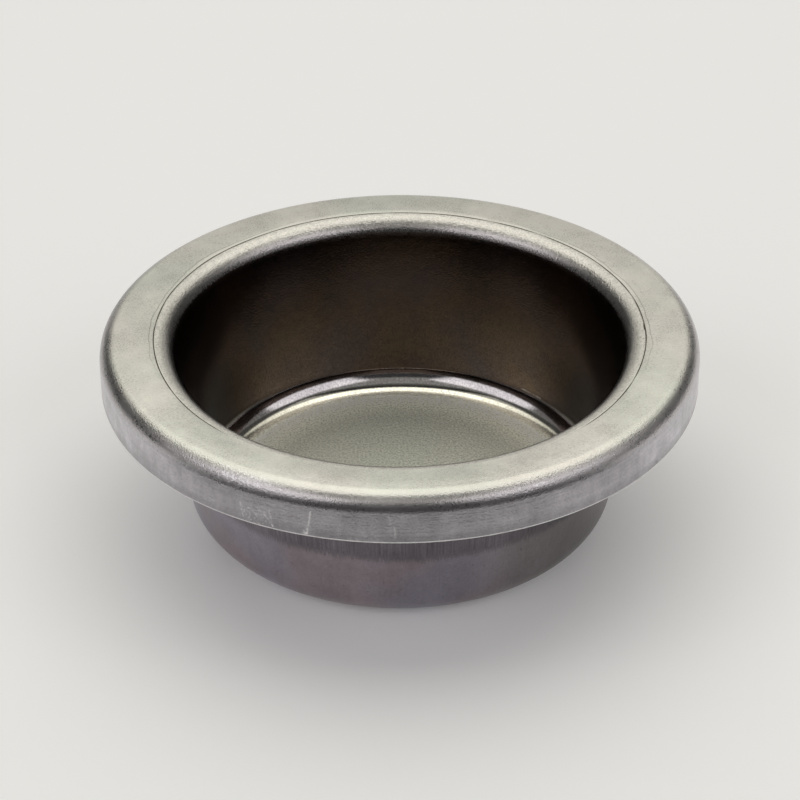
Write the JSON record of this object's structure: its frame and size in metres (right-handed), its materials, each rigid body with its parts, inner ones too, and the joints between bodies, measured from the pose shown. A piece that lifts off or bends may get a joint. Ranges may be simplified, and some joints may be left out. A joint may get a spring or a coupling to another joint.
{
  "type": "hub cap",
  "caption": "Round pressed sheet-steel hub cap: a drawn cup with a flat flange turned down into a short press-fit skirt.",
  "frame": {"origin": "middle of the closed end's outer face, at the foot of the part", "axes": "+Z along the axis from the closed end to the open mouth; X and Y are any two directions across, the part being round"},
  "size_m": [0.08, 0.08, 0.0272],
  "materials": {
    "steel": "satin, bare pressed sheet, slightly stained in the cup"
  },
  "bodies": {
    "root": {"hub_cap": "steel"}
  },
  "joints": []
}
